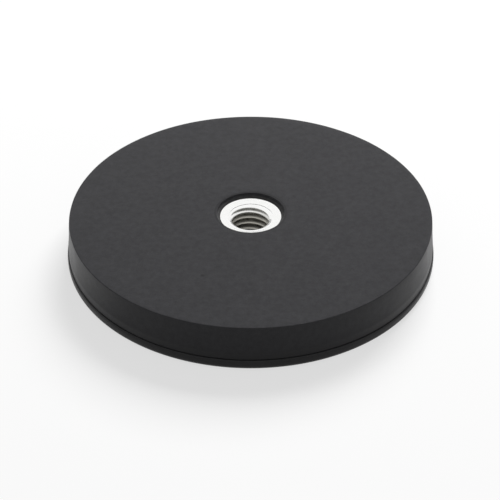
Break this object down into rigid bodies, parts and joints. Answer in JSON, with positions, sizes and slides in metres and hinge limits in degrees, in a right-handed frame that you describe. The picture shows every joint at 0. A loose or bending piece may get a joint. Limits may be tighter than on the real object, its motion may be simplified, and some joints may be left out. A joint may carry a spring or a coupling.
{
  "type": "rubber-coated disc magnet with threaded bush",
  "caption": "Flat round magnet in a black rubber cover with a lipped gripping base and a central zinc-plated threaded bush for an eyebolt or screw.",
  "frame": {"origin": "centre of the flat gripping face, on the surface that the magnet holds", "axes": "+Z along the axis, out of the threaded bush; +X through the centre of magnet_01"},
  "size_m": [0.066, 0.066, 0.0085],
  "materials": {
    "cover_rubber": "matte",
    "base_rubber": "matte",
    "plate_steel": "satin",
    "zinc_plated_steel": "satin",
    "nickel_plating": "polished"
  },
  "bodies": {
    "root": {"rubber_cover": "cover_rubber", "rubber_base": "base_rubber", "steel_back_plate": "plate_steel", "threaded_bush": "zinc_plated_steel", "magnet_01_north_down": "nickel_plating", "magnet_02_south_down": "nickel_plating", "magnet_03_north_down": "nickel_plating", "magnet_04_south_down": "nickel_plating", "magnet_05_north_down": "nickel_plating", "magnet_06_south_down": "nickel_plating", "magnet_07_north_down": "nickel_plating", "magnet_08_south_down": "nickel_plating", "magnet_09_north_down": "nickel_plating", "magnet_10_south_down": "nickel_plating", "magnet_11_north_down": "nickel_plating", "magnet_12_south_down": "nickel_plating"}
  },
  "joints": []
}
